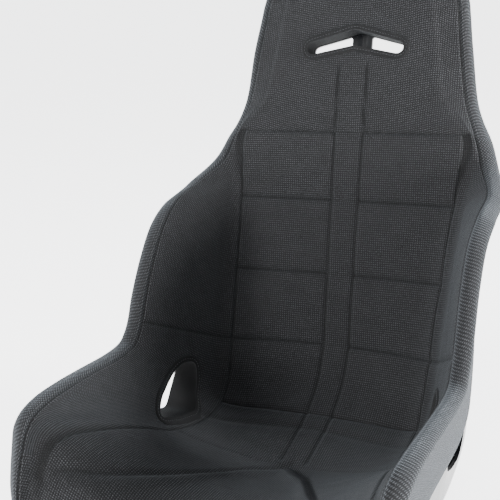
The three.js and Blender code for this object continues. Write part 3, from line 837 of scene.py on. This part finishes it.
coverCutters = openingCutters(clearance["cover"], bindingCloth)
coverTrees = {}
shellProbe = panelBlock("shellProbe", (0, last), (-1, 1), shellFront, shellBack, 8)
shellTree = treeOf(shellProbe)
bpy.data.objects.remove(shellProbe, do_unlink=True)
headPanel = panelBlock("headPanel", (0.01, neck), (-1, 1), coverTop, coverUnder, 2.6)
coverTrees["slot"] = treeOf(headPanel)
headPanel.data.materials.append(tweed)
cutOpenings(headPanel, coverCutters[:1])
headPanel.data.materials.clear()
finishPiece(headPanel, [], [tweed, bindingCloth])

backPanel = panelBlock("backPanel", (neck, hip), (-0.5, 0.5), coverTop, coverUnder, 2.6)
finishPiece(backPanel, ["cover_back_panel"], [tweed])

cushionPanel = panelBlock("cushionPanel", (hip, skirtTop), (-0.5, 0.5), coverTop, coverUnder, 2.6)
finishPiece(cushionPanel, ["cover_seat_panel"], [tweed])

frontSkirt = panelBlock("frontSkirt", (skirtTop, last), (-1, 1), coverTop, coverUnder)
finishPiece(frontSkirt, ["cover_front_skirt"], [tweed])

for index, (name, side) in enumerate(sides.items()):
    sidePanel = panelBlock(
        f"sidePanel_{name}", (neck, skirtTop), bothSides(side, 0.5, 1), coverTop, coverUnder, 2.6
    )
    coverTrees[name] = treeOf(sidePanel)
    sidePanel.data.materials.append(tweed)
    cutOpenings(sidePanel, [coverCutters[1 + index]])
    sidePanel.data.materials.clear()
    finishPiece(sidePanel, [f"cover_side_{name}"], [tweed, bindingCloth])
removeCutters(coverCutters)
print("cover panels made")

# ---- foam pads under the cover

padEdges = {"wing": 0.63, "gap": 0.012, "edge": 0.985, "headEdge": 0.97}
padEnds = {
    "head": (0.05, neck - 0.05),
    "back": (neck, hip - 0.4),
    "cushion": (hip - 0.35, 15.95),
    "thighRoll": (16, last),
    "torso": (neck + 1, 11.45),
    "thigh": (11.5, last),
}
padDepth = clothBottom + layers["foamGap"]


def padTop(s, u):
    return under(coverTable, s, u * reachAt(s), padDepth)


def padUnder(s, u):
    return shellAt(s, u, -layers["foamGap"])


padCutters = openingCutters(clearance["foam"], foamLook)


def makePad(name, nodes, sRange, uRange, cutters):
    pad = panelBlock(name, sRange, uRange, padTop, padUnder, 9)
    if cutters:
        cutOpenings(pad, cutters)
        pad.data.materials.clear()
    finishPiece(pad, nodes, [foamLook])


padWing = padEdges["wing"] - padEdges["gap"]
headSpan = (-padEdges["headEdge"], padEdges["headEdge"])
middleSpan = (-padWing, padWing)
makePad("headFoam", ["head_pad"], padEnds["head"], headSpan, padCutters[:1])
makePad("backFoam", ["back_pad"], padEnds["back"], middleSpan, padCutters[1:])
makePad("cushionFoam", ["seat_pad"], padEnds["cushion"], middleSpan, padCutters[1:])
makePad("thighRollFoam", ["thigh_roll_pad"], padEnds["thighRoll"], middleSpan, [])
for index, (name, side) in enumerate(sides.items()):
    span = bothSides(side, padEdges["wing"] + padEdges["gap"], padEdges["edge"])
    cutter = [padCutters[1 + index]]
    makePad(f"torsoBolsterFoam_{name}", [f"torso_bolster_pad_{name}"], padEnds["torso"], span, cutter)
    makePad(f"thighBolsterFoam_{name}", [f"thigh_bolster_pad_{name}"], padEnds["thigh"], span, cutter)
removeCutters(padCutters)
print("foam made")

# ---- laminate shell and its rib

# the laminate has two holes behind the slot, and a grooved bridge is left between them
bridge = {
    "grooveHalfWidth": 3.2,
    "grooveDepth": 1.6,
    "grooveSpan": 0.8,
    "holeOutline": ((17, 1.5), (75, -10), (83, -4.5), (83, 6), (77, 10), (17, 26)),
    "corner": 5,
}


def shellTop(s, u):
    across = u * reachAt(s)
    x = np.abs(across) * along(shellTable[1], s)[:, 0] / 0.5
    atSlot = np.where(np.abs(s - slotStation) < bridge["grooveSpan"], 1, 0)
    sunk = bridge["grooveDepth"] * groove(x, bridge["grooveHalfWidth"]) * atSlot
    return under(shellTable, s, across, sunk)


shell = panelBlock("laminateShell", (0, last), (-1, 1), shellTop, shellBack, 5)
shell.data.materials.append(gelcoatLook)
shellCutters = openingCutters(0, rawEdgeLook, beltShape["inShell"])
removeCutters(shellCutters[:1])
halfSlots = []
for side in sides.values():
    half = roundedOutline([(side * x, y) for x, y in bridge["holeOutline"]], bridge["corner"])
    halfSlots.append(cutterOf(half, slotToSeat, -through, through, rawEdgeLook))
cutOpenings(shell, halfSlots + shellCutters[1:])
shell.data.materials.clear()
finishPiece(shell, ["shell"], [gelcoatLook, rawEdgeLook])
removeCutters(halfSlots + shellCutters[1:])

rib = {"halfWidth": 26, "depth": 16, "wall": 3, "range": (2.75, 10.5), "glue": 0.4, "endSlope": 0.04}
ribSection = ((-1.35, 0), (-1.0, 0.03), (-0.9, 0.2), (-0.74, 0.85), (-0.62, 1), (-0.3, 1.03), (0, 1.04))


def ribPoint(row, column, skin):
    s = rib["range"][0] + (rib["range"][1] - rib["range"][0]) * row
    place = column * 2 - 1
    travel = np.linspace(-1, 0, len(ribSection))
    across = np.interp(-np.abs(place), travel, [p[0] for p in ribSection]) * np.where(place < 0, 1, -1)
    high = np.interp(-np.abs(place), travel, [p[1] for p in ribSection])
    u = across * rib["halfWidth"] / along(shellTable[1], s)[:, 0] * 0.5
    end = np.minimum(np.minimum(row, 1 - row) / rib["endSlope"], 1)
    lift = high * (rib["depth"] - rib["wall"]) * np.sqrt(np.clip(end * (2 - end), 0, 1))
    foot = layers["shellWall"] + rib["glue"]
    return under(shellTable, s, u, foot + lift + (0 if skin else rib["wall"]))


backRib = mappedBlock("backRib", 160, 36, ribPoint)
finishPiece(backRib, ["back_rib"], [gelcoatLook])
print("shell made")

# ---- turned edges: the cover goes over the rim of the shell

rim = {
    "seamPinch": 5,
    "fullness": 0.6,
    "tailSink": 1.2,
    "tailFrom": 0.86,
    "near": 0.06,
    "wrapGrid": (330, 36),
    "headWrapGrid": (110, 30),
    "capGrid": (100, 30),
    "hemGrid": (120, 20),
}


def wrapWidthAt(s):
    def smooth(low, high):
        t = np.clip((s - low) / (high - low), 0, 1)
        return t * t * (3 - 2 * t)

    wide = smooth(neck, neck + 4) * (1 - smooth(last - 4, last - 1))
    narrow = np.where(s < hip, layers["headWrapWidth"], layers["hemWidth"])
    return narrow + (layers["wrapWidth"] - narrow) * wide


def outsideDepth(depth):
    return layers["shellWall"] + layers["outerPad"] + layers["clothWall"] - depth


# one turned edge as arrays: at is (station, share), inward the place its tail heads for and the
# millimetres to it, nearer a place just inside; t runs over the arc and v over the tail
def turnedEdge(at, inward, nearer, width, t, v, depth):
    s, u = at
    start = under(coverTable, s, u, depth)
    end = under(shellTable, s, u, outsideDepth(depth))
    out = np.zeros_like(start)
    for table in (coverTable, shellTable):
        out += surfacePoint(table, s, u) - surfacePoint(table, *nearer)
    out /= np.linalg.norm(out, axis=1)[:, None]
    middle = (start + end) / 2
    angle = (np.clip(t, 0, 1) * math.pi)[:, None]
    seamDip = sewn["ridgeDepth"] * np.exp(-((t * rim["seamPinch"]) ** 2))[:, None]
    bulge = layers["rimBulge"] - depth + rim["fullness"]
    arc = middle + (start - middle) * np.cos(angle) + out * bulge * np.sin(angle)
    arc -= normalAt(coverTable, s, u) * seamDip
    share = width * v / np.maximum(inward[2], 1e-6)
    tailS = s + (inward[0] - s) * share
    tailU = u + (inward[1] - u) * share
    sink = rim["tailSink"] * np.clip((v - rim["tailFrom"]) / (1 - rim["tailFrom"]), 0, 1)
    tail = under(shellTable, tailS, tailU, outsideDepth(depth) - sink)
    return np.where((v > 0)[:, None], tail, arc)


arcShare = 0.42
wrapCloth = 2


def edgeBlock(name, rows, columns, placeAt, width):
    def pointAt(row, column, skin):
        at, inward, nearer = placeAt(row)
        t = np.clip(column / arcShare, 0, 1)
        v = np.clip((column - arcShare) / (1 - arcShare), 0, 1)
        return turnedEdge(at, inward, nearer, width(at[0]), t, v, wrapCloth if skin else 0)

    # painted shade along the ridge seam, where the arc of the turned edge starts
    def paintedShadeAt(row, column):
        return np.clip(groove(column / arcShare, 0.07) + 0.35 * groove(column / arcShare, 0.15), 0, 1)

    return mappedBlock(name, rows, columns, pointAt, paintedShadeAt)


def wingPlaces(side, low, high):
    def placeAt(row):
        s = low + (high - low) * row
        reach = reachAt(s)
        corner = s < sectionShape["headLength"]
        u = side * reach
        inS = np.where(corner, sectionShape["headLength"], s)
        inU = side * np.where(corner, 1 - sectionShape["headInset"], 0.3)
        span = np.linalg.norm(surfacePoint(shellTable, s, u) - surfacePoint(shellTable, inS, inU), axis=1)
        nearS = np.where(corner, s + (inS - s) * rim["near"], s)
        nearU = np.where(corner, u + (inU - u) * rim["near"], side * (reach - 0.02))
        return (s, u), (inS, inU, span), (nearS, nearU)

    return placeAt


def topPlaces(low, high, station, inStation):
    def placeAt(row):
        u = low + (high - low) * row
        s = np.full_like(u, station)
        inS = np.full_like(u, inStation)
        span = np.linalg.norm(surfacePoint(shellTable, s, u) - surfacePoint(shellTable, inS, u), axis=1)
        return (s, u), (inS, u, span), (s + (inS - s) * rim["near"], u)

    return placeAt


def hemWidthAt(s):
    return np.full_like(s, layers["hemWidth"])


for name, side in sides.items():
    wrap = edgeBlock(f"outerWrap_{name}", *rim["wrapGrid"], wingPlaces(side, neck, last), wrapWidthAt)
    wrapNodes = [f"cover_outer_wrap_{name}", f"edge_foam_{name}"]
    finishPiece(wrap, wrapNodes, [tweedAcross])
    headWrap = edgeBlock(f"headWrap_{name}", *rim["headWrapGrid"], wingPlaces(side, 0, neck), wrapWidthAt)
    headNodes = [f"cover_head_wrap_{name}", f"head_edge_foam_{name}"]
    finishPiece(headWrap, headNodes, [tweedAcross])
topEnd = 1 - sectionShape["headInset"]
headTop = topPlaces(-topEnd, topEnd, 0, sectionShape["headLength"])
headCap = edgeBlock("headCap", *rim["capGrid"], headTop, wrapWidthAt)
finishPiece(headCap, ["cover_head_cap", "head_cap_foam"], [tweedAcross])
hemPlaces = topPlaces(-0.45, 0.45, last, last - 1.5)
frontHem = edgeBlock("frontHem", *rim["hemGrid"], hemPlaces, hemWidthAt)
finishPiece(frontHem, ["cover_front_hem"], [tweedAcross])
print("turned edges made")

# ---- bound edges of the openings

binding = {
    "section": (
        (10.5, -0.6), (9.6, 1.3), (7.5, 2.3), (5.0, 1.5),
        (2.4, 2.4), (0.4, 1.9), (-0.7, 0.2), (-0.7, -3.0),
    ),
    "wall": 1.6,
    "tail": 3.0,
    "tailShares": (0.35, 0.7, 1.0),
    "tailWithoutShell": 35,
    "stitchAt": 5.0,
    "stitchLift": 1.9,
}


# where rays from an outline meet a cover panel: place, normal and the ray's direction
def surfaceUnder(tree, toSeat, flat, high, low):
    start = toFrame(toSeat(flat, np.full(len(flat), high)))
    end = toFrame(toSeat(flat, np.full(len(flat), low)))
    found = []
    for a, b in zip(start, end):
        way = Vector(b - a)
        place, normal = tree.ray_cast(Vector(a), way.normalized())[:2]
        found.append((place, normal, way.normalized()))
    return found


def smoothRing(values, rounds=3):
    for _ in range(rounds):
        values = (np.roll(values, 1, axis=0) + 2 * values + np.roll(values, -1, axis=0)) / 4
    return values


# a folded band that lies on the cover round an opening and goes down to the shell inside it
def makeBinding(name, nodes, ring, toSeat, tree, high, low):
    count = len(ring)
    hits = {}
    for growth in sorted({g for g, _ in binding["section"]}):
        found = surfaceUnder(tree, toSeat, grownOutline(ring, growth), high, low)
        known = [f for f in found if f[0] is not None]
        found = [f if f[0] is not None else known[-1] for f in found]
        places = np.array([tuple(f[0]) for f in found])
        normals = smoothRing(np.array([tuple(f[1]) for f in found]), 6)
        towards = -np.array([tuple(f[2]) for f in found])
        normals *= np.sign(np.sum(normals * towards, axis=1))[:, None]
        hits[growth] = places, normals / np.linalg.norm(normals, axis=1)[:, None], towards
    innermost = min(hits)
    places, normals, towards = hits[innermost]
    depths = []
    for place, toward in zip(places, towards):
        hit = shellTree.ray_cast(Vector(place), -Vector(toward))[0]
        depths.append((Vector(place) - hit).length if hit else binding["tailWithoutShell"] * millimetre)
    depth = smoothRing(np.array(depths), 8) - binding["tail"] * millimetre
    columns = [hits[g][0] + hits[g][1] * h * millimetre for g, h in binding["section"]]
    for share in binding["tailShares"]:
        columns.append(places - towards * (depth * share)[:, None])
    outer = np.stack(columns, axis=1)
    fine = []
    steps = outer.shape[1] - 1
    fineSteps = np.linspace(0, steps, steps * 3 + 1)
    for k in range(3):
        fine.append(np.array([np.interp(fineSteps, range(steps + 1), row[:, k]) for row in outer]))
    outer = np.stack(fine, axis=2)
    ahead = np.roll(outer, -1, axis=0) - np.roll(outer, 1, axis=0)
    sideways = np.gradient(outer, axis=1)
    into = np.cross(ahead, sideways)
    into /= np.maximum(np.linalg.norm(into, axis=2), 1e-9)[:, :, None]
    onTop = 6  # a column of the band that lies on the cover
    if np.sum(into[:, onTop] * normals) > 0:
        into = -into
    inner = outer + into * binding["wall"] * millimetre
    columnCount = outer.shape[1] - 1

    def pointAt(row, column, skin):
        i = np.round(row * count).astype(int) % count
        j = np.round(column * columnCount).astype(int)
        points = (inner if skin else outer)[i, j] / millimetre
        points[:, 1] -= shiftY
        return points

    piece = mappedBlock(name, count, columnCount, pointAt, ring=True)
    finishPiece(piece, nodes, [bindingCloth])
    lift = binding["stitchLift"] * millimetre
    line = []
    stitchRing = grownOutline(ring, binding["stitchAt"])
    for place, normal, way in surfaceUnder(tree, toSeat, stitchRing, high, low):
        if place is not None:
            line.append((place + normal * lift * math.copysign(1, -normal.dot(way)), normal))
    return line


stitching = {"pitch": 5.0, "length": 3.4, "radius": 0.42}


# a row of short rounded stitches along a path of (place, normal) pairs in metres
def addStitches(bm, path, closed=False):
    line = [p for p, _ in path] + ([path[0][0]] if closed else [])
    up = [n for _, n in path] + ([path[0][1]] if closed else [])
    travel = [0.0]
    for a, b in zip(line, line[1:]):
        travel.append(travel[-1] + (b - a).length)
    pitch = stitching["pitch"] * millimetre
    number = max(int(travel[-1] / pitch), 1)
    pitch = travel[-1] / number
    half = stitching["length"] * millimetre / 2
    thin = stitching["radius"] * millimetre
    segment = 0
    for k in range(number):
        want = (k + 0.5) * pitch
        while segment < len(travel) - 2 and travel[segment + 1] < want:
            segment += 1
        share = (want - travel[segment]) / max(travel[segment + 1] - travel[segment], 1e-9)
        place = line[segment].lerp(line[segment + 1], share)
        ahead = (line[segment + 1] - line[segment]).normalized()
        normal = up[segment]
        across = ahead.cross(normal).normalized()
        matrix = Matrix((ahead * half, across * thin, across.cross(ahead) * thin)).transposed().to_4x4()
        bmesh.ops.create_icosphere(bm, subdivisions=1, radius=1, matrix=Matrix.Translation(place) @ matrix)


slotNodes = ["harness_slot_binding"]
slotRays = (80, -80)
beltRays = (120, 300)
bindingRows = [
    makeBinding("harnessSlotBinding", slotNodes, slotRing, slotToSeat, coverTrees["slot"], *slotRays)
]
for name, side in sides.items():
    toSeat = beltToSeat(side)
    nodes = [f"belt_opening_binding_{name}"]
    row = makeBinding(f"beltBinding_{name}", nodes, beltRing, toSeat, coverTrees[name], *beltRays)
    bindingRows.append(row)
bm = bmesh.new()
for path in bindingRows:
    addStitches(bm, path, closed=True)
finishPiece(objectOf(bm, "bindingStitches"), [], [threadLook])
print("bindings made")

# ---- double stitching along the ridge seams

# inside is in millimetres from the seam, outside a share of the arc over the rim
ridgeRows = {"inside": 3.2, "outside": 0.13, "lift": 0.2, "range": (0.02, last - 0.2), "points": 420}
bm = bmesh.new()
rowPlaces = np.linspace(*ridgeRows["range"], ridgeRows["points"])
for side in sides.values():
    reach = reachAt(rowPlaces)
    wing = along(coverTable[2], rowPlaces) - along(coverTable[1], rowPlaces)
    wide = np.maximum(np.linalg.norm(wing, axis=1) * 2, 40)
    u = side * (reach - ridgeRows["inside"] / wide)
    normals = normalAt(coverTable, rowPlaces, u)
    inner = toFrame(under(coverTable, rowPlaces, u, -reliefAt(rowPlaces, u) - ridgeRows["lift"]))
    addStitches(bm, [(Vector(p), Vector(n)) for p, n in zip(inner, normals)])
    at, inward, nearer = wingPlaces(side, *ridgeRows["range"])(np.linspace(0, 1, ridgeRows["points"]))
    t = np.full(ridgeRows["points"], ridgeRows["outside"])
    outer = turnedEdge(at, inward, nearer, wrapWidthAt(at[0]), t, t * 0, -ridgeRows["lift"])
    addStitches(bm, [(Vector(p), Vector(n)) for p, n in zip(toFrame(outer), normals)])
finishPiece(objectOf(bm, "ridgeStitches"), [], [threadLook])
print("stitching made")

# ---- small CAD pieces keep their shape and get their finish

fittingLooks = {
    "mount_foot": gelcoatLook,
    "captive_nut": zincLook,
    "loop_tape": tapeLook,
    "hook_tape": tapeLook,
}
for node, look in fittingLooks.items():
    for name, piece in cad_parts.items():
        if name.startswith(node):
            piece.data.materials.clear()
            piece.data.materials.append(look)
print("fittings finished")
